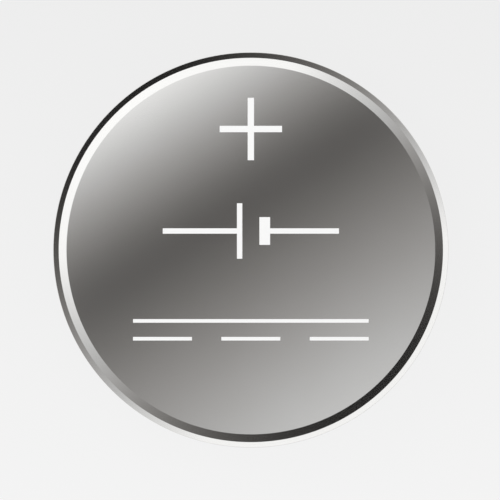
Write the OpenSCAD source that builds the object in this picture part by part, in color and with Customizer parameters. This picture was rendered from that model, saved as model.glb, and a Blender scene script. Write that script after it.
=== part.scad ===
// Round lithium coin cell, lying on its negative cap with its positive face up.
// Its axis is Z, and the origin is the centre of the negative contact face.
// The can stands upside down over the rest, so its floor is at the top.
// Every piece is drawn as half a section, with radius along X and height along Y,
// and turned about the axis. Neighbours share one outline, so they seat face to face.

/* [Cell] */
// Outside diameter of the cell
cell_d = 20; // [18:0.1:30]
// Height over the two contact faces
cell_h = 3.2; // [3:0.05:5.4]

/* [Positive can] */
// Thickness of the can's steel sheet
can_sheet = 0.25; // [0.18:0.01:0.3]
// Width of the shallow bevel round the positive face
face_bevel_w = 0.4; // [0.2:0.01:0.6]
// Drop of the shallow bevel
face_bevel_drop = 0.1; // [0.04:0.01:0.14]
// Width of the steep bevel between the shallow one and the wall
rim_bevel_w = 0.29; // [0.15:0.01:0.35]
// Drop of the steep bevel
rim_bevel_drop = 0.21; // [0.1:0.01:0.25]
// Radius that rounds the steep bevel into the wall
rim_nose_r = 0.08; // [0.04:0.01:0.15]
// Radius inside the can, between its floor and its wall
can_floor_r = 0.4; // [0.3:0.01:0.6]

/* [Crimp] */
// Outside radius of the bend that closes the can over the seal
crimp_r = 0.8; // [0.6:0.01:1]
// Width of the crimped lip, from the can's wall to its free edge
lip_w = 0.85; // [0.7:0.01:1.1]
// Height of the negative face above the crimped lip
crown_proud = 0.3; // [0.2:0.01:0.4]

/* [Negative cap] */
// Thickness of the cap's steel sheet
cap_sheet = 0.25; // [0.18:0.01:0.3]
// Outside radius of the bend round the negative face
crown_edge_r = 0.45; // [0.35:0.01:0.55]
// Radius of the hollow bend between the cap's shoulder and its flange
neck_r = 0.12; // [0.08:0.01:0.15]
// Outside radius of the bend between the flange and the skirt
flange_edge_r = 0.35; // [0.31:0.01:0.45]

/* [Sealing gasket] */
// Thickness of the gasket between the cap's skirt and the can's wall
seal_wall = 0.4; // [0.3:0.01:0.5]
// Thickness squeezed between the cap's flange and the crimped lip
seal_end = 0.3; // [0.25:0.01:0.4]
// Thickness between the end of the cap's skirt and the can's floor
seal_foot = 0.4; // [0.3:0.01:0.5]
// Thickness of the gasket's inner wall, inside the skirt
seal_inner_wall = 0.2; // [0.12:0.01:0.3]
// Height of the inner wall from the can's floor
seal_inner_h = 0.9; // [0.6:0.05:1.2]
// Width of the ring of gasket that shows between lip and cap
bead_w = 0.35; // [0.25:0.01:0.5]
// Depth of that ring below the crimped lip
bead_recess = 0.1; // [0.04:0.01:0.15]

/* [Electrodes] */
// Thickness of the lithium disc
lithium_t = 0.6; // [0.4:0.05:0.7]
// Margin between the lithium disc and the bend of the cap's crown
lithium_margin = 0.45; // [0.2:0.05:0.8]
// Thickness of the separator
separator_t = 0.2; // [0.1:0.01:0.3]
// Free width between the separator and the cap's shoulder
separator_gap = 0.15; // [0.1:0.01:0.3]
// Thickness of the collector ring's steel sheet
ring_sheet = 0.15; // [0.1:0.01:0.2]
// Inside radius of the collector ring's bend
ring_bend_r = 0.1; // [0.05:0.01:0.15]
// Height of the collector ring's wall
ring_h = 1.3; // [0.8:0.05:1.4]
// Width of the collector ring's foot, between the pellet and the can's floor
ring_foot_w = 1; // [0.6:0.05:1.5]
// Free width between the collector ring and the gasket, filled by electrolyte
ring_gap = 0.85; // [0.6:0.05:0.95]
// Bevel round the pressed pellet's open face
pellet_bevel = 0.12; // [0.05:0.01:0.2]

/* [Hidden] */
$fn = 180;
// Steps of the small arc on the rim
nose_steps = 6;

// Radii from the axis
can_r = cell_d / 2;
cavity_r = can_r - can_sheet;
lip_r = can_r - lip_w;
crown_r = lip_r - bead_w;
skirt_r = cavity_r - seal_wall;
seal_inner_r = skirt_r - cap_sheet - seal_inner_wall;
lithium_r = crown_r - crown_edge_r - lithium_margin;
separator_r = crown_r - cap_sheet - separator_gap;
ring_r = seal_inner_r - ring_gap;
pellet_r = ring_r - ring_sheet;

// Heights above the negative face
lip_z = crown_proud;
lip_inner_z = lip_z + can_sheet;
flange_z = lip_inner_z + seal_end;
bead_z = lip_z + bead_recess;
floor_z = cell_h - can_sheet;
skirt_end_z = floor_z - seal_foot;
separator_z = cap_sheet + lithium_t;
pellet_z = separator_z + separator_t;

// Steel, as seen on the can and the cap
steel = [0.72, 0.71, 0.69];

// Points along an arc, counted from the X axis
function arc(x, y, r, from, to, steps) =
    [for (i = [0:steps]) let (a = from + (to - from) * i / steps)
        [x + r * cos(a), y + r * sin(a)]];

// What lies outside a round corner that looks outwards and down
module corner_cut(x, y, r) {
    translate([x - r, y]) difference() {
        translate([0, -r]) square([2 * r, 2 * r]);
        translate([0, r]) circle(r);
    }
}

// What fills a hollow corner that looks outwards and down
module corner_fill(x, y, r) {
    translate([x, y - r]) difference() {
        square(r);
        translate([r, 0]) circle(r);
    }
}

// A filled block from the axis to radius r, between two heights, with a round lower corner
module block(r, low, high, corner) {
    difference() {
        translate([0, low]) square([r, high - low]);
        corner_cut(r, low, corner);
    }
}

// The can's outside, filled: two bevels at the positive face, the wall and the crimp
module can_form() {
    tilt = atan2(rim_bevel_drop, rim_bevel_w);
    rim_z = cell_h - face_bevel_drop;
    wall_top = rim_z - rim_bevel_drop - rim_nose_r * tan((90 - tilt) / 2);
    nose = arc(can_r - rim_nose_r, wall_top, rim_nose_r, 0, 90 - tilt, nose_steps);
    difference() {
        polygon(concat(
            [[0, lip_z], [can_r, lip_z]],
            nose,
            [[can_r - rim_bevel_w, rim_z],
             [can_r - rim_bevel_w - face_bevel_w, cell_h],
             [0, cell_h]]));
        corner_cut(can_r, lip_z, crimp_r);
    }
}

// The room inside the can, filled, which the gasket's outside takes over
module can_cavity() {
    difference() {
        block(cavity_r, lip_inner_z, floor_z, crimp_r - can_sheet);
        translate([0, floor_z]) mirror([0, 1])
            corner_cut(cavity_r, 0, can_floor_r);
    }
}

// The cap's outside, filled, or its inside where inset is the sheet's thickness
module cap_form(inset) {
    block(crown_r - inset, inset, flange_z + inset, crown_edge_r - inset);
    block(skirt_r - inset, flange_z + inset, skirt_end_z, flange_edge_r - inset);
    corner_fill(crown_r - inset, flange_z + inset, neck_r + inset);
}

// Deep-drawn can, crimped over the gasket
module positive_can() {
    color(steel) rotate_extrude() difference() {
        can_form();
        can_cavity();
        square([lip_r, lip_inner_z]);
    }
}

// Stepped cap with a flange and a skirt, which stand in the gasket
module negative_cap() {
    color(steel) rotate_extrude() difference() {
        cap_form(0);
        cap_form(cap_sheet);
    }
}

// Moulded ring that holds the cap's skirt and insulates it from the can
module sealing_gasket() {
    color([0.9, 0.9, 0.87]) rotate_extrude() {
        difference() {
            can_cavity();
            cap_form(0);
            translate([0, skirt_end_z]) square([seal_inner_r, seal_foot]);
        }
        translate([seal_inner_r, floor_z - seal_inner_h])
            square([seal_inner_wall, seal_inner_h]);
        translate([crown_r, bead_z])
            square([bead_w, flange_z - neck_r - bead_z]);
    }
}

// Lithium foil disc, pressed onto the cap
module lithium_disc() {
    color([0.62, 0.63, 0.65]) translate([0, 0, cap_sheet])
        cylinder(r = lithium_r, h = lithium_t);
}

// Fleece disc between the two electrodes
module separator() {
    color([0.95, 0.95, 0.93]) translate([0, 0, separator_z])
        cylinder(r = separator_r, h = separator_t);
}

// The room inside the collector ring, filled, which the pellet takes over
module ring_room() {
    translate([0, floor_z]) mirror([0, 1])
        block(pellet_r, ring_sheet, floor_z - pellet_z, ring_bend_r);
}

// L-section steel ring round the pellet, with its foot on the can's floor
module collector_ring() {
    color([0.6, 0.6, 0.6]) rotate_extrude() difference() {
        translate([0, floor_z]) mirror([0, 1])
            block(ring_r, 0, ring_h, ring_bend_r + ring_sheet);
        ring_room();
        translate([0, floor_z - ring_h]) square([ring_r - ring_foot_w, ring_h]);
    }
}

// Pressed pellet, rebated for the ring's foot where it meets the can's floor
module cathode_pellet() {
    color([0.13, 0.13, 0.14]) rotate_extrude() difference() {
        union() {
            ring_room();
            translate([0, floor_z - ring_sheet])
                square([ring_r - ring_foot_w, ring_sheet]);
        }
        translate([pellet_r, pellet_z]) rotate(45)
            square(pellet_bevel * sqrt(2), center = true);
    }
}

positive_can();
sealing_gasket();
negative_cap();
lithium_disc();
separator();
cathode_pellet();
collector_ring();
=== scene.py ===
"""Dresses a lithium coin cell: turned steel, moulded seal, printed face and a soft studio.

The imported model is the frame. The can, the seal and the cap are turned again here at a finer
step, so that the bevels reflect cleanly, and the inner pieces keep their own meshes.
"""
import math

import bmesh
import bpy
from bpy.props import FloatProperty, FloatVectorProperty, IntProperty, PointerProperty
from mathutils import Matrix, Vector


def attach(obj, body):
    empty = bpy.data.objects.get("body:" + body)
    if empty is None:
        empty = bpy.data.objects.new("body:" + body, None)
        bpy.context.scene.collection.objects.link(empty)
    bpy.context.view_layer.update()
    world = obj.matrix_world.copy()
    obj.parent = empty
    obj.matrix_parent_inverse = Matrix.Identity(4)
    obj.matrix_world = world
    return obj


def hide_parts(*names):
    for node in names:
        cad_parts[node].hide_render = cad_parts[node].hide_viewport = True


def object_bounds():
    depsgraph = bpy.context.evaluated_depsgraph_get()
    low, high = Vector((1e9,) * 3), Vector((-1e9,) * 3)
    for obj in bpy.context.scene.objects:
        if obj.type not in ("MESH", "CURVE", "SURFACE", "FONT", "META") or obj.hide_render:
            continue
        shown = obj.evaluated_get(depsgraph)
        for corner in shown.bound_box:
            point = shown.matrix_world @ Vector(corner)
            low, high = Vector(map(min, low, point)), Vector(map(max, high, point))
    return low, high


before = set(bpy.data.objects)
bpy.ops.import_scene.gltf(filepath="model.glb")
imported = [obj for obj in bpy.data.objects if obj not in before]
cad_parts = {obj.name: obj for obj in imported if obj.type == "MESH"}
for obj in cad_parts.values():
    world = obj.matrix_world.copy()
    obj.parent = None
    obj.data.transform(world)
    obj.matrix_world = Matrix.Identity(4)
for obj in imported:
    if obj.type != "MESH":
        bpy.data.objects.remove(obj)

bl_info = {
    "name": "Lithium coin cell",
    "version": (1, 0, 0),
    "blender": (4, 5, 0),
    "location": "View3D > Sidebar > Coin cell",
    "description": "Turns, prints and lights a round lithium cell",
    "category": "Add Mesh",
}

MM = 0.001
CAD_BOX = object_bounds()
HEIGHT = CAD_BOX[1].z
RADIUS = CAD_BOX[1].x
# Width of the camera's sensor, in millimetres
SENSOR_MM = 36
# Points closer than this are one point
WELD = 0.0001 * MM
# Turn between two points of a rounded corner, in degrees, and the fewest steps in one
ARC_STEP = 9
ARC_LEAST = 3
# Turns a grey of the screen into light
SCREEN_POWER = 2.2
# Hues of the reflectors where they are dim and where they are bright
WARM = (1.025, 0.99, 0.97, 1)
COOL = (0.99, 1, 1.02, 1)


def length(name, description, millimetres):
    """A size in metres whose default is given in millimetres."""
    return FloatProperty(name=name, description=description, default=millimetres * MM,
                         precision=6, subtype="DISTANCE", unit="LENGTH")


def direction(name, description, degrees):
    """An angle round the axis whose default is given in degrees."""
    return FloatProperty(name=name, description=description, default=math.radians(degrees),
                         subtype="ANGLE", unit="ROTATION")


def number(name, description, value, low, high):
    """A plain number between two limits."""
    return FloatProperty(name=name, description=description, default=value, min=low, max=high)


def share(name, description, value):
    """A plain number from 0 to 1."""
    return FloatProperty(name=name, description=description, default=value,
                         min=0, max=1, subtype="FACTOR")


def span(name, description, first, last):
    """Two numbers from 0 to 1, between which a pattern runs."""
    return FloatVectorProperty(name=name, description=description, default=(first, last),
                               size=2, min=0, max=1)


def colour(name, description, value):
    """A linear colour."""
    return FloatVectorProperty(name=name, description=description, default=value,
                               size=3, min=0, max=1, subtype="COLOR")


class CellSizes(bpy.types.PropertyGroup):
    """Sizes of the turned pieces and of the print."""
    can_sheet: length("Can sheet", "Thickness of the can's steel", 0.25)
    shallow_bevel_w: length("Shallow bevel width", "Bevel next to the positive face", 0.4)
    shallow_bevel_drop: length("Shallow bevel drop", "Its fall below the face", 0.1)
    steep_bevel_w: length("Steep bevel width", "Bevel next to the wall", 0.29)
    steep_bevel_drop: length("Steep bevel drop", "Its fall", 0.21)
    rim_nose: length("Rim nose", "Radius between the steep bevel and the wall", 0.08)
    can_floor_bend: length("Can floor bend", "Radius inside the can at its floor", 0.4)
    crimp_bend: length("Crimp bend", "Outside radius of the crimp", 0.8)
    lip_w: length("Lip width", "From the wall to the lip's free edge", 0.85)
    crown_proud: length("Crown proud", "Height of the crown's face beyond the lip", 0.3)
    cap_sheet: length("Cap sheet", "Thickness of the cap's steel", 0.25)
    crown_bend: length("Crown bend", "Outside radius round the negative face", 0.45)
    neck_bend: length("Neck bend", "Radius between shoulder and flange", 0.12)
    flange_bend: length("Flange bend", "Outside radius between flange and skirt", 0.35)
    seal_wall: length("Seal wall", "Gasket between skirt and can", 0.4)
    seal_end: length("Seal end", "Gasket between flange and lip", 0.3)
    seal_foot: length("Seal foot", "Gasket between skirt and the can's floor", 0.4)
    seal_inner_wall: length("Seal inner wall", "Gasket inside the skirt", 0.2)
    seal_inner_h: length("Seal inner height", "Height of that wall", 0.9)
    bead_w: length("Bead width", "Gasket that shows between lip and cap", 0.35)
    bead_recess: length("Bead recess", "Its depth below the lip", 0.1)
    edge_break: length("Edge break", "Radius that breaks a sharp edge", 0.02)
    segments: IntProperty(name="Segments", description="Steps round the axis",
                          default=240, min=24, max=720)
    ink_t: length("Ink thickness", "Height of the print over the face", 0.012)
    ink_key: length("Ink key", "Depth of the print's foot in the steel", 0.003)
    plus_span: length("Plus span", "Across the polarity sign", 3.15)
    plus_stroke: length("Plus stroke", "Width of its bars", 0.32)
    plus_y: length("Plus place", "Its centre above the axis", 6.11)
    cell_sign_w: length("Cell sign width", "Across the circuit sign of a cell", 8.9)
    cell_sign_h: length("Cell sign height", "Height of its long plate", 2.8)
    cell_sign_y: length("Cell sign place", "Its centre above the axis", 0.96)
    cell_stroke: length("Cell sign stroke", "Width of its lines", 0.27)
    cell_sign_gap: length("Cell sign gap", "Between its two plates", 0.864)
    direct_sign_w: length("Direct current sign width", "Across its solid line", 11.9)
    direct_sign_gap: length("Direct current sign gap", "Between its two lines", 0.9)
    direct_sign_y: length("Direct current sign place", "Its centre above the axis", -4.03)
    direct_stroke: length("Direct current sign stroke", "Width of its lines", 0.18)


class CellFinish(bpy.types.PropertyGroup):
    """Colours, polish and relief of the cell's surfaces."""
    steel: colour("Steel", "Nickel-plated stainless steel", (0.70, 0.69, 0.67))
    steel_shade: colour("Steel shade", "The steel's darker patches", (0.67, 0.66, 0.635))
    face_roughness: share("Face roughness", "Satin of the flat faces", 0.24)
    bevel_roughness: share("Bevel roughness", "Polish of the bevels", 0.17)
    wall_roughness: share("Wall roughness", "Drawn wall", 0.22)
    crimp_roughness: share("Crimp roughness", "Pressed crimp", 0.28)
    crimp_fade: length("Crimp fade", "Height over which drawn wall turns to pressed crimp", 0.3)
    grain_share: share("Grain share", "How far the can's fine grain changes its polish", 0.03)
    can_relief: length("Can relief", "Depth of the marks on the can", 0.0015)
    face_relief: share("Face relief", "Share of that depth for the grain on face and bevels", 0.05)
    mark: colour("Mark", "Draw marks on the wall and press marks on the crimp", (0.42, 0.415, 0.40))
    mark_share: share("Mark share", "How strongly those marks show", 0.22)
    draw_stretch: number("Draw stretch", "Length of a draw mark in its widths", 25, 1, 100)
    dots_a_mm: number("Stipple dots", "Dots on the cap's crown in a millimetre", 4.5, 0.1, 50)
    dot_margin: length("Stipple margin", "Plain steel inside the crown's bend", 0.1)
    dot_fade: length("Stipple fade", "Width over which the stipple starts", 0.15)
    dot_share: share("Stipple share", "How far the stipple changes the cap's polish", 0.04)
    cap_relief: length("Cap relief", "Depth of the stipple", 0.006)
    seal: colour("Seal", "Milky polypropylene", (0.76, 0.76, 0.72))
    seal_roughness: span("Seal roughness", "Low and high places of its skin", 0.38, 0.48)
    seal_relief: length("Seal relief", "Depth of that skin", 0.003)
    ink: colour("Ink", "White print", (0.93, 0.93, 0.925))
    ink_roughness: span("Ink roughness", "Low and high places of its grain", 0.55, 0.65)
    ink_relief: length("Ink relief", "Depth of that grain", 0.0008)
    lithium: colour("Lithium", "Rolled lithium foil", (0.52, 0.53, 0.55))
    lithium_roughness: span("Lithium roughness", "Clean foil and dull bloom", 0.38, 0.56)
    lithium_relief: length("Lithium relief", "Depth of the marks of the roll", 0.006)
    roll_stretch: number("Roll stretch", "Length of a roll mark in its widths", 18, 1, 100)
    fleece: colour("Fleece", "Separator", (0.84, 0.84, 0.82))
    fleece_roughness: share("Fleece roughness", "Dull fibres", 0.85)
    fleece_relief: length("Fleece relief", "Depth between the fibres", 0.02)
    fibre_stretch: number("Fibre stretch", "Length of a fibre in its widths", 9, 1, 100)
    pellet: colour("Pellet", "Pressed manganese dioxide", (0.022, 0.022, 0.024))
    pellet_roughness: span("Pellet roughness", "Powder and glinting graphite", 0.7, 0.4)
    pellet_relief: length("Pellet relief", "Depth between the grains", 0.012)
    ring_roughness: span("Ring roughness", "Low and high places of its draw lines", 0.2, 0.3)
    ring_relief: length("Ring relief", "Depth of those lines", 0.002)


class CellStudio(bpy.types.PropertyGroup):
    """Camera, floor, room and key light."""
    frame_w: length("Frame width", "What the camera sees across the face", 25.25)
    frame_x: length("Frame place", "Centre of the frame from the axis", -0.043)
    lens_mm: number("Lens", "Focal length in millimetres", 250, 20, 1000)
    floor_reach: length("Floor reach", "From the axis to the floor's sides", 600)
    floor_tone: share("Floor tone", "Grey of the floor", 0.875)
    # Painted shade on the floor: its grey falls a little towards +Y
    floor_painted_shade: share("Floor fade", "Change of that grey across the frame", 0.049)
    floor_glow: share("Floor glow", "Share of the open floor that ignores shadows", 0.955)
    mirror_glow: share("Mirrored glow", "The same share where the steel mirrors the floor", 0.3)
    shadow_in: length("Shadow inset", "Whole shadow, from the can's wall inwards", 0.3)
    shadow_out: length("Shadow outset", "End of that shadow, from the can's wall outwards", 0.1)
    room_level: number("Room level", "Strength of the even room light", 0.9, 0, 2)
    wall_level: share("Room wall level", "How bright the steel mirrors the room's walls", 0.42)
    ceiling_gain: share("Ceiling gain", "How much brighter it mirrors the ceiling", 0.4)
    side_gain: share("Side gain", "How much brighter it mirrors the bright side", 0.1)
    key_power: FloatProperty(name="Key power", description="Power of the key light",
                             default=0.03, min=0, max=1, subtype="POWER", unit="POWER")
    key_size: length("Key size", "Across the key light", 80)
    key_place: FloatVectorProperty(name="Key place", description="Centre of the key light",
                                   default=(-60 * MM, 60 * MM, 90 * MM), size=3,
                                   subtype="TRANSLATION", unit="LENGTH")


class CellReflectors(bpy.types.PropertyGroup):
    """The overhead board and the low hoop, which only the steel sees."""
    bright_side: direction("Bright side", "Where the board is brightest", 130)
    board_h: length("Board height", "Height of the board over the face", 9)
    board_r: length("Board radius", "Radius of the board", 21)
    sweep_turn: direction("Sweep turn", "Direction of the sweep over the face", -58)
    dark_at: length("Dark band", "Place of the sweep's dark band from the axis", -2)
    dark_level: share("Dark band level", "Light of the board there", 0.095)
    near_reach: length("Near reach", "Length of the climb to the bright side", 7)
    near_gain: share("Near gain", "Light gained over that reach", 0.965)
    near_bend: number("Near bend", "Power of that climb", 1.85, 0.1, 10)
    far_reach: length("Far reach", "Length of the climb on the other side", 10)
    far_even: share("Far even gain", "Light gained evenly over that reach", 0.475)
    far_late: share("Far late gain", "Light gained late in that reach", 0.144)
    far_bend: number("Far bend", "Power of the late climb", 2.5, 0.1, 10)
    sweep_top: number("Sweep top", "Most light in the sweep", 1.27, 0, 4)
    ring_start: length("Ring start", "Where the sweep gives way to the board's ring", 11.9)
    ring_full: length("Ring full", "Where the ring is alone", 13.1)
    ring_shift: length("Ring shift", "How far both move out on the bright side", 0.6)
    ring_end: length("Ring end", "Where the ring starts to fade", 16.4)
    ring_gone: length("Ring gone", "Where it has faded", 18.2)
    ring_dim: share("Ring dim", "Grey that the steel shows on the ring's dim side", 31 / 255)
    ring_bright: share("Ring bright", "Grey on its bright side", 251 / 255)
    hoop_r: length("Hoop radius", "Radius of the hoop", 20)
    hoop_low: length("Hoop low", "Height of its lower edge", 0.3)
    hoop_high: length("Hoop high", "Height of its upper edge", 10)
    hoop_end: length("Hoop end", "Height at which it starts to fade", 7.2)
    hoop_gone: length("Hoop gone", "Height at which it has faded", 9.8)
    hoop_dim: share("Hoop dim", "Grey that the steel shows on the hoop's dim side", 23 / 255)
    hoop_bright: share("Hoop bright", "Grey on its bright side", 245 / 255)
    hoop_bend: number("Hoop bend", "Power between the two", 0.92, 0.1, 10)


class Wire:
    """A socket in a node tree. Arithmetic on it adds Math nodes to that tree."""

    def __init__(self, graph, socket):
        self.graph = graph
        self.socket = socket

    def _math(self, operation, first, second):
        return self.graph.add("ShaderNodeMath", {0: first, 1: second}, operation=operation)

    def __add__(self, other):
        return self._math("ADD", self, other)

    __radd__ = __add__

    def __sub__(self, other):
        return self._math("SUBTRACT", self, other)

    def __rsub__(self, other):
        return self._math("SUBTRACT", other, self)

    def __mul__(self, other):
        return self._math("MULTIPLY", self, other)

    __rmul__ = __mul__

    def __truediv__(self, other):
        return self._math("DIVIDE", self, other)

    def __pow__(self, other):
        return self._math("POWER", self, other)

    def at_least(self, other):
        """The larger of the two."""
        return self._math("MAXIMUM", self, other)

    def at_most(self, other):
        """The smaller of the two."""
        return self._math("MINIMUM", self, other)


class Graph:
    """A shader or geometry tree that is built by calls.

    A node's sockets go by name, or by number where two of them share a name.
    """

    def __init__(self, tree):
        self.tree = tree
        tree.nodes.clear()

    def add(self, kind, sockets=None, out=0, **settings):
        """Adds a node, with its settings first and then its sockets, and returns one output."""
        node = self.tree.nodes.new(kind)
        for name, value in settings.items():
            setattr(node, name, value)
        for key, value in (sockets or {}).items():
            if isinstance(value, Wire):
                self.tree.links.new(value.socket, node.inputs[key])
            else:
                node.inputs[key].default_value = value
        return Wire(self, node.outputs[out]) if node.outputs else None

    def step(self, value, low, high):
        """Rises smoothly from 0 at low to 1 at high."""
        return self.add("ShaderNodeMapRange", {"Value": value, "From Min": low, "From Max": high},
                        interpolation_type="SMOOTHSTEP")

    def slope(self, value, low, high, start, end):
        """Runs straight from start at low to end at high, and stays there beyond."""
        return self.add("ShaderNodeMapRange", {"Value": value, "From Min": low, "From Max": high,
                                               "To Min": start, "To Max": end})

    def blend(self, factor, first, second):
        """Mixes two numbers."""
        return self.add("ShaderNodeMix", {0: factor, 2: first, 3: second}, data_type="FLOAT")

    def tint(self, factor, first, second):
        """Mixes two colours."""
        return self.add("ShaderNodeMix", {0: factor, 6: first, 7: second}, out=2, data_type="RGBA")

    def outputs(self, kind, sockets=None):
        """Adds a node and returns all its outputs by name."""
        node = self.add(kind, sockets).socket.node
        return {output.name: Wire(self, output) for output in node.outputs}

    def axes(self, vector):
        """The three numbers of a vector."""
        return self.outputs("ShaderNodeSeparateXYZ", {"Vector": vector}).values()

    def vector(self, x, y, z):
        """A vector of three numbers."""
        return self.add("ShaderNodeCombineXYZ", {"X": x, "Y": y, "Z": z})

    def noise(self, vector, waves, detail=2.0):
        """Noise from 0 to 1, with so many waves in a millimetre."""
        return self.add("ShaderNodeTexNoise", {"Vector": vector, "Scale": waves / MM,
                                               "Detail": detail})


class Finish(Graph):
    """A material's tree, whose patterns are read in the object's own place.

    The place is also there as x, y and z, and as r, its distance from the axis.
    """

    def __init__(self, name):
        self.material = bpy.data.materials.new(name)
        self.material.use_nodes = True
        super().__init__(self.material.node_tree)
        self.place = self.add("ShaderNodeTexCoord", out="Object")
        self.x, self.y, self.z = self.axes(self.place)
        self.r = self.add("ShaderNodeVectorMath", {0: self.vector(self.x, self.y, 0)},
                          out="Value", operation="LENGTH")

    def ring_lines(self, waves):
        """Noise in lines round the axis."""
        return self.noise(self.vector(self.r, self.z, 0), waves)

    def surface(self, paint, roughness, relief, depth, metallic=0.0, specular=0.5):
        """Ends the tree in a Principled surface.

        The relief is a height from 0 to 1, and the depth is what 1 stands for, in metres.
        """
        normal = self.add("ShaderNodeBump", {"Height": relief, "Distance": depth, "Strength": 1.0})
        shader = self.add("ShaderNodeBsdfPrincipled", {
            "Base Color": paint, "Roughness": roughness, "Metallic": metallic,
            "Specular IOR Level": specular, "Normal": normal})
        self.add("ShaderNodeOutputMaterial", {"Surface": shader})
        return self.material

    def light(self, level):
        """Ends the tree in a light that is warm where it is dim and cool where it is bright.

        The steel is a little warm itself, so its bright parts then look neutral.
        """
        dim, bright = 0.1, 0.7
        hue = self.tint(self.slope(level, dim, bright, 0, 1), WARM, COOL)
        glow = self.add("ShaderNodeVectorMath", {0: hue, "Scale": level}, operation="SCALE")
        shader = self.add("ShaderNodeEmission", {"Color": glow})
        self.add("ShaderNodeOutputMaterial", {"Surface": shader})
        return self.material


class Places:
    """Radii and heights that several pieces share, worked out from the sizes."""

    def __init__(self, sizes):
        self.face_r = RADIUS - sizes.steep_bevel_w - sizes.shallow_bevel_w
        self.cavity_r = RADIUS - sizes.can_sheet
        self.lip_r = RADIUS - sizes.lip_w
        self.crown_r = self.lip_r - sizes.bead_w
        self.skirt_r = self.cavity_r - sizes.seal_wall
        self.lip_z = sizes.crown_proud
        self.lip_top_z = self.lip_z + sizes.can_sheet
        self.flange_z = self.lip_top_z + sizes.seal_end
        self.floor_z = HEIGHT - sizes.can_sheet
        self.skirt_end_z = self.floor_z - sizes.seal_foot
        self.shallow_z = HEIGHT - sizes.shallow_bevel_drop
        self.steep_z = self.shallow_z - sizes.steep_bevel_drop


def rgba(value, gain=1):
    """A colour property with its alpha, brighter or darker by a gain."""
    return (*(gain * part for part in value), 1.0)


def steel_base(finish, looks):
    """The steel's colour, with faint broad patches."""
    patches = finish.noise(finish.place, waves=0.35)
    return finish.tint(patches, rgba(looks.steel_shade), rgba(looks.steel))


def can_steel(sizes, looks):
    """The can: satin face, polished bevels, drawn wall and pressed crimp."""
    finish = Finish("can steel")
    at, edge = Places(sizes), sizes.edge_break
    off_face = finish.step(finish.r, at.face_r - edge, at.face_r + edge)
    below_rim = 1 - finish.step(finish.z, at.steep_z - 2 * edge, at.steep_z - edge)
    crimp_z = at.lip_z + sizes.crimp_bend
    crimped = 1 - finish.step(finish.z, crimp_z - looks.crimp_fade, crimp_z)
    grain = finish.noise(finish.place, waves=14)
    upright = finish.vector(finish.x, finish.y, finish.z / looks.draw_stretch)
    drawn = finish.blend(0.4, finish.noise(upright, waves=9), finish.noise(upright, waves=1.6))
    pressed = finish.ring_lines(waves=16)
    marks = finish.blend(crimped, drawn, pressed)
    streaks = finish.step(marks, low=0.38, high=0.66) * below_rim * looks.mark_share
    paint = finish.tint(streaks, steel_base(finish, looks), rgba(looks.mark))
    upper = finish.blend(off_face, looks.face_roughness, looks.bevel_roughness)
    lower = finish.blend(crimped, looks.wall_roughness, looks.crimp_roughness)
    roughness = finish.blend(below_rim, upper, lower) + (grain - 0.5) * looks.grain_share
    relief = finish.blend(below_rim, grain * looks.face_relief, marks)
    return finish.surface(paint, roughness, relief, looks.can_relief, metallic=1.0)


def cap_steel(sizes, looks):
    """The cap: a fine even stipple on the crown, and drawn steel round it."""
    finish = Finish("cap steel")
    stipple_r = Places(sizes).crown_r - sizes.crown_bend - looks.dot_margin
    crown = 1 - finish.step(finish.r, stipple_r - looks.dot_fade, stipple_r)
    dots = finish.add("ShaderNodeTexVoronoi", {
        "Vector": finish.vector(finish.x, finish.y, 0), "Scale": looks.dots_a_mm / MM,
        "Randomness": 0.25})
    stipple = 1 - finish.step(dots, low=0.15, high=0.45)
    lines = finish.ring_lines(waves=14)
    drawn_share = 0.3
    relief = finish.blend(crown, lines * drawn_share, stipple)
    polish = finish.blend(crown, looks.wall_roughness, looks.crimp_roughness)
    roughness = polish + stipple * looks.dot_share
    return finish.surface(steel_base(finish, looks), roughness, relief, looks.cap_relief,
                          metallic=1.0)


def seal_plastic(looks):
    """The gasket: milky, slightly waxy moulded polypropylene."""
    finish = Finish("milky polypropylene")
    cloud = finish.noise(finish.place, waves=0.8)
    skin = finish.noise(finish.place, waves=12)
    paint = finish.tint(cloud, rgba(looks.seal, gain=0.93), rgba(looks.seal))
    roughness = finish.blend(skin, *looks.seal_roughness)
    return finish.surface(paint, roughness, skin, looks.seal_relief)


def white_ink(looks):
    """The print: matt white ink with a fine grain."""
    finish = Finish("white ink")
    grain = finish.noise(finish.place, waves=20)
    paint = finish.tint(grain, rgba(looks.ink, gain=0.97), rgba(looks.ink))
    roughness = finish.blend(grain, *looks.ink_roughness)
    return finish.surface(paint, roughness, grain, looks.ink_relief, specular=0.3)


def lithium_foil(looks):
    """Lithium: a soft grey metal with the marks of the roll and a dull bloom."""
    finish = Finish("lithium foil")
    lengthwise = finish.vector(finish.x / looks.roll_stretch, finish.y, finish.z)
    rolled = finish.noise(lengthwise, waves=8)
    bloom = finish.step(finish.noise(finish.place, waves=0.5, detail=4.0), low=0.35, high=0.7)
    paint = finish.tint(bloom, rgba(looks.lithium), rgba(looks.lithium, gain=0.72))
    roughness = finish.blend(bloom, *looks.lithium_roughness)
    return finish.surface(paint, roughness, rolled, looks.lithium_relief, metallic=0.9)


def separator_fleece(looks):
    """The separator: white non-woven fibres pressed flat, along X and along Y."""
    finish = Finish("separator fleece")
    x, y, z = finish.x, finish.y, finish.z
    stretch = looks.fibre_stretch
    fibres = finish.blend(0.5, finish.noise(finish.vector(x / stretch, y, z), waves=15),
                          finish.noise(finish.vector(x, y / stretch, z), waves=15))
    paint = finish.tint(finish.step(fibres, low=0.35, high=0.65),
                        rgba(looks.fleece, gain=0.8), rgba(looks.fleece))
    return finish.surface(paint, looks.fleece_roughness, fibres, looks.fleece_relief)


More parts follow.
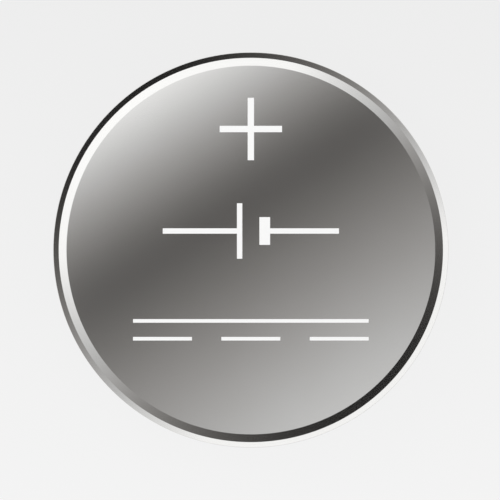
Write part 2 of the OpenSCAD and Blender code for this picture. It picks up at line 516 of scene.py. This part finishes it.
def pellet_powder(looks):
    """The cathode: black powder pressed with a little graphite, which glints."""
    finish = Finish("pressed powder")
    grains = finish.noise(finish.place, waves=9, detail=4.0)
    glint = finish.step(grains, low=0.62, high=0.7)
    paint = finish.tint(glint, rgba(looks.pellet), rgba(looks.pellet, gain=5))
    roughness = finish.blend(glint, *looks.pellet_roughness)
    return finish.surface(paint, roughness, grains, looks.pellet_relief)


def ring_steel(looks):
    """The collector ring: thin bright steel strip, drawn round."""
    finish = Finish("collector ring steel")
    lines = finish.ring_lines(waves=12)
    roughness = finish.blend(lines, *looks.ring_roughness)
    return finish.surface(steel_base(finish, looks), roughness, lines, looks.ring_relief,
                          metallic=1.0)


def corner_arc(corner, before, after, bend):
    """Points of the arc that rounds a corner between the corners before and after it."""
    back = (before - corner).normalized()
    ahead = (after - corner).normalized()
    half = back.angle(ahead) / 2
    run = bend / math.tan(half)
    centre = corner + (back + ahead).normalized() * (bend / math.sin(half))
    first = corner + back * run - centre
    last = corner + ahead * run - centre
    turn = math.pi - 2 * half
    steps = max(ARC_LEAST, math.ceil(math.degrees(turn) / ARC_STEP))
    sign = 1 if first.x * last.y - first.y * last.x > 0 else -1
    points = []
    for i in range(steps + 1):
        angle = sign * turn * i / steps
        cos, sin = math.cos(angle), math.sin(angle)
        points.append(centre + Vector((first.x * cos - first.y * sin,
                                       first.x * sin + first.y * cos)))
    return points


def rounded(corners, hold, closed):
    """Points of an outline whose corners (radius, height, rounding) are rounded by arcs.

    Each straight run with room for it also gets a point at the distance hold from both of its
    ends, which keeps the run's shading flat up to the bend. An open outline keeps its two ends
    as they are.
    """
    count = len(corners)
    places = [Vector(corner[:2]) for corner in corners]
    stretches = []
    for i, (_, _, bend) in enumerate(corners):
        if not closed and i in (0, count - 1):
            stretches.append([places[i]])
        else:
            stretches.append(corner_arc(places[i], places[i - 1], places[(i + 1) % count], bend))
    points = []
    for i, stretch in enumerate(stretches):
        points += stretch
        if i + 1 == count and not closed:
            break
        start, end = stretch[-1], stretches[(i + 1) % count][0]
        if (end - start).length > 4 * hold:
            step = (end - start).normalized() * hold
            points += [start + step, end - step]
    return points


def can_outline(sizes):
    """Half section of the can, from the axis outside to the axis inside."""
    at, edge = Places(sizes), sizes.edge_break
    return [
        (0, HEIGHT, 0),
        (at.face_r, HEIGHT, edge),
        (RADIUS - sizes.steep_bevel_w, at.shallow_z, edge),
        (RADIUS, at.steep_z, sizes.rim_nose),
        (RADIUS, at.lip_z, sizes.crimp_bend),
        (at.lip_r, at.lip_z, edge),
        (at.lip_r, at.lip_top_z, edge),
        (at.cavity_r, at.lip_top_z, sizes.crimp_bend - sizes.can_sheet),
        (at.cavity_r, at.floor_z, sizes.can_floor_bend),
        (0, at.floor_z, 0),
    ]


def cap_outline(sizes):
    """Half section of the cap, from the axis outside to the axis inside."""
    at, edge, sheet = Places(sizes), sizes.edge_break, sizes.cap_sheet
    return [
        (0, 0, 0),
        (at.crown_r, 0, sizes.crown_bend),
        (at.crown_r, at.flange_z, sizes.neck_bend),
        (at.skirt_r, at.flange_z, sizes.flange_bend),
        (at.skirt_r, at.skirt_end_z, edge),
        (at.skirt_r - sheet, at.skirt_end_z, edge),
        (at.skirt_r - sheet, at.flange_z + sheet, sizes.flange_bend - sheet),
        (at.crown_r - sheet, at.flange_z + sheet, sizes.neck_bend + sheet),
        (at.crown_r - sheet, sheet, sizes.crown_bend - sheet),
        (0, sheet, 0),
    ]


def seal_outline(sizes):
    """Closed section of the gasket, round the cap's skirt and into the crimp."""
    at, edge = Places(sizes), sizes.edge_break
    skirt_in = at.skirt_r - sizes.cap_sheet
    inner_r = skirt_in - sizes.seal_inner_wall
    inner_z = at.floor_z - sizes.seal_inner_h
    bead_z = at.lip_z + sizes.bead_recess
    return [
        (at.lip_r, bead_z, edge),
        (at.lip_r, at.lip_top_z, edge),
        (at.cavity_r, at.lip_top_z, sizes.crimp_bend - sizes.can_sheet),
        (at.cavity_r, at.floor_z, sizes.can_floor_bend),
        (inner_r, at.floor_z, edge),
        (inner_r, inner_z, edge),
        (skirt_in, inner_z, edge),
        (skirt_in, at.skirt_end_z, edge),
        (at.skirt_r, at.skirt_end_z, edge),
        (at.skirt_r, at.flange_z, sizes.flange_bend),
        (at.crown_r, at.flange_z, sizes.neck_bend),
        (at.crown_r, bead_z, edge),
    ]


def modelling_graph(name, inputs, output):
    """An empty tree of geometry nodes with these inputs, and wires from them by name."""
    tree = bpy.data.node_groups.new(name, "GeometryNodeTree")
    for label, kind in inputs.items():
        tree.interface.new_socket(label, in_out="INPUT", socket_type="NodeSocket" + kind)
    tree.interface.new_socket(output, in_out="OUTPUT", socket_type="NodeSocketGeometry")
    graph = Graph(tree)
    return graph, graph.outputs("NodeGroupInput")


def lathe_tree():
    """Geometry nodes that turn a half section in the XZ plane round the Z axis."""
    graph, given = modelling_graph("Turn on the lathe", {
        "Section": "Geometry", "Radius": "Float", "Segments": "Int", "Weld": "Float",
        "Material": "Material"}, "Piece")
    x, _, z = graph.axes(graph.add("GeometryNodeInputPosition"))
    flat = graph.add("GeometryNodeSetPosition", {
        "Geometry": given["Section"], "Position": graph.vector(x - given["Radius"], z * -1, 0)})
    profile = graph.add("GeometryNodeMeshToCurve", {"Mesh": flat})
    path = graph.add("GeometryNodeCurvePrimitiveCircle", {
        "Resolution": given["Segments"], "Radius": given["Radius"]})
    upright = graph.add("GeometryNodeSetCurveNormal", {"Curve": path}, mode="Z_UP")
    turned = graph.add("GeometryNodeCurveToMesh", {"Curve": upright, "Profile Curve": profile})
    joined = graph.add("GeometryNodeMergeByDistance", {
        "Geometry": turned, "Distance": given["Weld"]})
    smooth = graph.add("GeometryNodeSetShadeSmooth", {"Geometry": joined})
    real = graph.add("GeometryNodeRealizeInstances", {"Geometry": smooth})
    dressed = graph.add("GeometryNodeSetMaterial", {
        "Geometry": real, "Material": given["Material"]})
    graph.add("NodeGroupOutput", {"Piece": dressed})
    return graph.tree


def print_tree():
    """Geometry nodes that raise a flat mark to the ink's thickness and repeat it in a row."""
    graph, given = modelling_graph("Print in a row", {
        "Mark": "Geometry", "Count": "Int", "Pitch": "Float", "Thickness": "Float",
        "Weld": "Float", "Material": "Material"}, "Print")
    raised = graph.add("GeometryNodeExtrudeMesh", {
        "Mesh": given["Mark"], "Offset Scale": given["Thickness"], "Individual": False})
    below = graph.add("GeometryNodeFlipFaces", {"Mesh": given["Mark"]})
    both = graph.add("GeometryNodeJoinGeometry", {"Geometry": raised})
    graph.tree.links.new(below.socket, both.socket.node.inputs["Geometry"])
    closed = graph.add("GeometryNodeMergeByDistance", {
        "Geometry": both, "Distance": given["Weld"]})
    start = graph.vector((given["Count"] - 1) * given["Pitch"] * -0.5, 0, 0)
    row = graph.add("GeometryNodeMeshLine", {
        "Count": given["Count"], "Start Location": start,
        "Offset": graph.vector(given["Pitch"], 0, 0)})
    copies = graph.add("GeometryNodeInstanceOnPoints", {"Points": row, "Instance": closed})
    real = graph.add("GeometryNodeRealizeInstances", {"Geometry": copies})
    dressed = graph.add("GeometryNodeSetMaterial", {
        "Geometry": real, "Material": given["Material"]})
    graph.add("NodeGroupOutput", {"Print": dressed})
    return graph.tree


def mesh_object(name, points, edges, faces):
    """A new object with this mesh, at the origin."""
    mesh = bpy.data.meshes.new(name)
    mesh.from_pydata(points, edges, faces)
    piece = bpy.data.objects.new(name, mesh)
    bpy.context.scene.collection.objects.link(piece)
    return piece


def run_tree(piece, tree, values):
    """Runs geometry nodes on a piece and keeps the result as its plain mesh.

    Its faces are turned outwards, so it has to be closed.
    """
    modifier = piece.modifiers.new(tree.name, "NODES")
    modifier.node_group = tree
    for item in tree.interface.items_tree:
        if item.in_out == "INPUT" and item.name in values:
            modifier[item.identifier] = values[item.name]
    graph = bpy.context.evaluated_depsgraph_get()
    mesh = bpy.data.meshes.new_from_object(piece.evaluated_get(graph))
    piece.modifiers.remove(modifier)
    piece.data = mesh
    shell = bmesh.new()
    shell.from_mesh(mesh)
    bmesh.ops.recalc_face_normals(shell, faces=shell.faces)
    if any(len(edge.link_faces) != 2 for edge in shell.edges):
        raise RuntimeError(f"{piece.name} isn't closed")
    shell.to_mesh(mesh)
    shell.free()


def turned_piece(name, corners, material, sizes, closed=False):
    """A piece turned from its section, which is closed or starts and ends on the axis."""
    points = rounded(corners, sizes.edge_break, closed)
    count = len(points)
    edges = [(i, (i + 1) % count) for i in range(count if closed else count - 1)]
    piece = mesh_object(name, [(p.x, 0, p.y) for p in points], edges, [])
    run_tree(piece, lathe_tree(), {
        "Radius": RADIUS, "Segments": sizes.segments, "Weld": WELD, "Material": material})
    return piece


class CELL_OT_can(bpy.types.Operator):
    """Turn the can at a fine step and give it its steel"""
    bl_idname = "coin_cell.can"
    bl_label = "Positive can"

    def execute(self, context):
        sizes, looks = context.scene.cell_sizes, context.scene.cell_finish
        piece = turned_piece("steel_can", can_outline(sizes), can_steel(sizes, looks), sizes)
        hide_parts("positive_can")
        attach(piece, "root")
        return {"FINISHED"}


class CELL_OT_cap(bpy.types.Operator):
    """Turn the stepped cap and give it its steel"""
    bl_idname = "coin_cell.cap"
    bl_label = "Negative cap"

    def execute(self, context):
        sizes, looks = context.scene.cell_sizes, context.scene.cell_finish
        piece = turned_piece("steel_cap", cap_outline(sizes), cap_steel(sizes, looks), sizes)
        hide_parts("negative_cap")
        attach(piece, "root")
        return {"FINISHED"}


class CELL_OT_seal(bpy.types.Operator):
    """Turn the moulded gasket between can and cap"""
    bl_idname = "coin_cell.seal"
    bl_label = "Sealing gasket"

    def execute(self, context):
        sizes, looks = context.scene.cell_sizes, context.scene.cell_finish
        piece = turned_piece("seal_ring", seal_outline(sizes), seal_plastic(looks), sizes,
                             closed=True)
        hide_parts("sealing_gasket")
        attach(piece, "root")
        return {"FINISHED"}


class CELL_OT_inside(bpy.types.Operator):
    """Give the pieces inside the cell their materials"""
    bl_idname = "coin_cell.inside"
    bl_label = "Electrodes and separator"

    def execute(self, context):
        looks = context.scene.cell_finish
        for node, material in (("lithium_disc", lithium_foil), ("separator", separator_fleece),
                               ("cathode_pellet", pellet_powder), ("collector_ring", ring_steel)):
            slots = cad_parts[node].data.materials
            slots.clear()
            slots.append(material(looks))
        return {"FINISHED"}


def bar(left, right, low, high):
    """Corners of an upright rectangle, counter-clockwise."""
    return [(left, low), (right, low), (right, high), (left, high)]


def plus_mark(across, stroke):
    """Outline of a plus sign round the origin, counter-clockwise."""
    end, side = across / 2, stroke / 2
    return [(-side, -end), (side, -end), (side, -side), (end, -side), (end, side), (side, side),
            (side, end), (-side, end), (-side, side), (-end, side), (-end, -side), (-side, -side)]


def cell_mark(sizes):
    """Outlines of the circuit sign of a cell: two leads, a long plate and a short thick one."""
    end, gap, pen = sizes.cell_sign_w / 2, sizes.cell_sign_gap / 2, sizes.cell_stroke
    long_plate, short_plate = sizes.cell_sign_h / 2, sizes.cell_sign_h / 4
    return [
        bar(-end, -gap - pen, -pen / 2, pen / 2),
        bar(-gap - pen, -gap, -long_plate, long_plate),
        bar(gap, gap + 2 * pen, -short_plate, short_plate),
        bar(gap + 2 * pen, end, -pen / 2, pen / 2),
    ]


def flat_mark(name, outlines):
    """An object whose flat faces have these outlines."""
    points, faces = [], []
    for outline in outlines:
        faces.append(list(range(len(points), len(points) + len(outline))))
        points += [(x, y, 0) for x, y in outline]
    return mesh_object(name, points, [], faces)


class CELL_OT_print(bpy.types.Operator):
    """Print the polarity sign and the plain circuit signs on the positive face"""
    bl_idname = "coin_cell.print"
    bl_label = "Face print"

    def execute(self, context):
        sizes, looks = context.scene.cell_sizes, context.scene.cell_finish
        ink = white_ink(looks)
        tree = print_tree()
        pen = sizes.direct_stroke
        direct_y, gap = sizes.direct_sign_y, sizes.direct_sign_gap / 2
        # Three dashes, half a dash apart, are as long as the line over them
        dash = sizes.direct_sign_w / 4
        long_bar = bar(-2 * dash, 2 * dash, -pen / 2, pen / 2)
        short_bar = bar(-dash / 2, dash / 2, -pen / 2, pen / 2)
        # Name, outlines, centre above the axis, count and pitch
        marks = (
            ("plus_sign", [plus_mark(sizes.plus_span, sizes.plus_stroke)], sizes.plus_y, 1, 0),
            ("cell_sign", cell_mark(sizes), sizes.cell_sign_y, 1, 0),
            ("direct_sign_line", [long_bar], direct_y + gap, 1, 0),
            ("direct_sign_dashes", [short_bar], direct_y - gap, 3, 1.5 * dash),
        )
        for name, outlines, y, count, pitch in marks:
            piece = flat_mark(name, outlines)
            run_tree(piece, tree, {"Count": count, "Pitch": pitch, "Weld": WELD, "Material": ink,
                                   "Thickness": sizes.ink_t + sizes.ink_key})
            piece.data.transform(Matrix.Translation((0, y, HEIGHT - sizes.ink_key)))
            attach(piece, "root")
        return {"FINISHED"}


def lay_floor(studio):
    """A plain pale floor, with a painted shade that makes it a little darker towards +Y.

    It keeps its whole shadow under the cell, and a faint one round it.
    """
    reach = studio.floor_reach
    corners = [(-reach, -reach, 0), (reach, -reach, 0), (reach, reach, 0), (-reach, reach, 0)]
    floor = mesh_object("floor", corners, [], [[0, 1, 2, 3]])
    finish = Finish("floor")
    # Painted shade: the floor's grey is lighter towards -Y and darker towards +Y across the frame
    tone = finish.slope(finish.y, -studio.frame_w, studio.frame_w,
                        studio.floor_tone + studio.floor_painted_shade,
                        studio.floor_tone - studio.floor_painted_shade)
    paint = finish.add("ShaderNodeCombineColor", {"Red": tone, "Green": tone, "Blue": tone})
    matt = finish.add("ShaderNodeBsdfDiffuse", {"Color": paint})
    glow = finish.add("ShaderNodeEmission", {"Color": paint})
    rays = finish.outputs("ShaderNodeLightPath")
    seen = rays["Is Camera Ray"] + rays["Is Transmission Ray"]
    glowing = seen * studio.floor_glow + rays["Is Glossy Ray"] * studio.mirror_glow
    clear = finish.step(finish.r, RADIUS - studio.shadow_in, RADIUS + studio.shadow_out)
    mixed = finish.add("ShaderNodeMixShader", {0: glowing * clear, 1: matt, 2: glow})
    finish.add("ShaderNodeOutputMaterial", {"Surface": mixed})
    floor.data.materials.append(finish.material)


def towards(x, y, angle):
    """How far a place lies in a direction round the axis."""
    return x * math.cos(angle) + y * math.sin(angle)


def light_room(scene, studio, cards):
    """An even pale room, whose walls the steel mirrors darker than its ceiling."""
    world = bpy.data.worlds.new("room")
    world.use_nodes = True
    room = Graph(world.node_tree)
    x, y, up = room.axes(room.add("ShaderNodeTexCoord", out="Object"))
    ceiling = room.step(up, low=0.1, high=0.95) * studio.ceiling_gain
    side = towards(x, y, cards.bright_side) * studio.side_gain
    mirrored = ceiling + side + studio.wall_level
    shiny = room.outputs("ShaderNodeLightPath")["Is Glossy Ray"]
    level = room.blend(shiny, studio.room_level, mirrored)
    shader = room.add("ShaderNodeBackground", {"Color": room.vector(level, level, level)})
    room.add("ShaderNodeOutputWorld", {"Surface": shader})
    # The reflectors cast no shadow, so a sampled room would shine through them
    world.cycles.sampling_method = "NONE"
    scene.world = world


def hang_key(scene, studio):
    """One large soft key light from the upper left."""
    key = bpy.data.lights.new("key", "AREA")
    key.shape = "DISK"
    key.size = studio.key_size
    key.energy = studio.key_power
    lamp = bpy.data.objects.new("key", key)
    lamp.location = studio.key_place
    lamp.rotation_mode = "QUATERNION"
    lamp.rotation_quaternion = (-lamp.location).to_track_quat("-Z", "Y")
    scene.collection.objects.link(lamp)


def dress_card(card, finish, lit, fade, wall_level):
    """Lights a card, down to the level of the room's walls where it fades.

    Only shiny surfaces see it: not the camera, the floor or the shadows.
    """
    card.data.materials.append(finish.light(finish.blend(fade, lit, wall_level)))
    card.visible_camera = False
    card.visible_diffuse = False
    card.visible_transmission = False
    card.visible_volume_scatter = False
    card.visible_shadow = False


def circle(radius, z, steps):
    """Points round the axis, counter-clockwise."""
    turns = [2 * math.pi * i / steps for i in range(steps)]
    return [(radius * math.cos(turn), radius * math.sin(turn), z) for turn in turns]


def bright_share(finish, cards):
    """Runs round the axis, from 1 towards the bright side to -1 away from it."""
    return towards(finish.x, finish.y, cards.bright_side) / finish.r


def side_glow(finish, side, dim, bright, bend, steel):
    """Light that runs round a card from dim, where side is -1, to bright, well before it is 1.

    Both ends are the greys from 0 to 1 that the steel shows there, and steel is the share of
    light that it sends back. A bend below 1 lifts the middle between them.
    """
    grey = finish.slope(side, low=-1.0, high=0.6, start=0, end=1) ** bend
    return (grey * (bright - dim) + dim) ** SCREEN_POWER / steel


def camera_height(studio):
    """How far the camera stands over the face, for the frame's width."""
    return studio.frame_w * studio.lens_mm / SENSOR_MM


def sweep_glow(finish, studio, cards):
    """Light with one dark band, which climbs steeply on one side of it and gently on the other.

    The board is nearer to the camera than the face is, so the pattern is spread to suit.
    """
    spread = 1 + cards.board_h / camera_height(studio)
    place = towards(finish.x, finish.y, cards.sweep_turn) / spread - cards.dark_at
    near = (place * -1).at_least(0) / cards.near_reach
    far = place.at_least(0) / cards.far_reach
    climb = (near ** cards.near_bend * cards.near_gain
             + far * cards.far_even + far ** cards.far_bend * cards.far_late)
    return (climb + cards.dark_level).at_most(cards.sweep_top)


def hang_board(studio, cards, looks):
    """The overhead board: the sweep over the face, and a ring over the shallow bevel."""
    steps = 64
    rim = circle(cards.board_r, HEIGHT + cards.board_h, steps)
    board = mesh_object("overhead_board", rim, [], [list(range(steps))])
    finish = Finish("overhead board")
    side = bright_share(finish, cards)
    ring = side_glow(finish, side, cards.ring_dim, cards.ring_bright, 1, looks.steel[1])
    outside = finish.step(finish.r - side * cards.ring_shift, cards.ring_start, cards.ring_full)
    lit = finish.blend(outside, sweep_glow(finish, studio, cards), ring)
    fade = finish.step(finish.r, cards.ring_end, cards.ring_gone)
    dress_card(board, finish, lit, fade, studio.wall_level)


def stand_hoop(studio, cards, looks):
    """A low hoop round the cell, dark to the upper left and bright to the lower right."""
    steps = 96
    points = circle(cards.hoop_r, cards.hoop_low, steps)
    points += circle(cards.hoop_r, cards.hoop_high, steps)
    faces = []
    for i in range(steps):
        following = (i + 1) % steps
        faces.append([i, i + steps, following + steps, following])
    hoop = mesh_object("low_hoop", points, [], faces)
    finish = Finish("low hoop")
    side = bright_share(finish, cards) * -1
    lit = side_glow(finish, side, cards.hoop_dim, cards.hoop_bright, cards.hoop_bend,
                    looks.steel[1])
    fade = finish.step(finish.z, cards.hoop_end, cards.hoop_gone)
    dress_card(hoop, finish, lit, fade, studio.wall_level)


def aim_camera(scene, studio):
    """A long lens that looks straight down on the positive face."""
    camera = bpy.data.cameras.new("camera")
    camera.lens = studio.lens_mm
    camera.sensor_width = SENSOR_MM
    away = camera_height(studio)
    camera.clip_start = away / 20
    camera.clip_end = away * 10
    eye = bpy.data.objects.new("camera", camera)
    eye.location = (studio.frame_x, 0, HEIGHT + away)
    scene.collection.objects.link(eye)
    scene.camera = eye


class CELL_OT_studio(bpy.types.Operator):
    """Set up the floor, the lights and the camera"""
    bl_idname = "coin_cell.studio"
    bl_label = "Studio"

    def execute(self, context):
        scene, looks = context.scene, context.scene.cell_finish
        studio, cards = scene.cell_studio, scene.cell_reflectors
        lay_floor(studio)
        light_room(scene, studio, cards)
        hang_key(scene, studio)
        hang_board(studio, cards, looks)
        stand_hoop(studio, cards, looks)
        aim_camera(scene, studio)
        scene.view_settings.view_transform = "Standard"
        return {"FINISHED"}


class CELL_PT_panel(bpy.types.Panel):
    """Sizes, finishes and steps of the coin cell"""
    bl_idname = "CELL_PT_panel"
    bl_label = "Coin cell"
    bl_space_type = "VIEW_3D"
    bl_region_type = "UI"
    bl_category = "Coin cell"

    def draw(self, context):
        layout = self.layout
        for name, kind in GROUPS.items():
            box = layout.box()
            for setting in kind.__annotations__:
                box.prop(getattr(context.scene, name), setting)
        for operator in OPERATORS:
            layout.operator(operator.bl_idname)


OPERATORS = (CELL_OT_can, CELL_OT_cap, CELL_OT_seal, CELL_OT_inside, CELL_OT_print,
             CELL_OT_studio)
GROUPS = {"cell_sizes": CellSizes, "cell_finish": CellFinish, "cell_studio": CellStudio,
          "cell_reflectors": CellReflectors}


def register():
    """Registers the settings, the operators and the panel."""
    for group in GROUPS.values():
        bpy.utils.register_class(group)
    for name, group in GROUPS.items():
        setattr(bpy.types.Scene, name, PointerProperty(type=group))
    for operator in OPERATORS:
        bpy.utils.register_class(operator)
    bpy.utils.register_class(CELL_PT_panel)


def unregister():
    """Takes them away again."""
    bpy.utils.unregister_class(CELL_PT_panel)
    for operator in reversed(OPERATORS):
        bpy.utils.unregister_class(operator)
    for name, group in GROUPS.items():
        delattr(bpy.types.Scene, name)
        bpy.utils.unregister_class(group)


def main():
    """Makes the whole scene."""
    register()
    bpy.ops.coin_cell.can()
    bpy.ops.coin_cell.cap()
    bpy.ops.coin_cell.seal()
    bpy.ops.coin_cell.inside()
    bpy.ops.coin_cell.print()
    bpy.ops.coin_cell.studio()


if __name__ == "__main__":
    main()
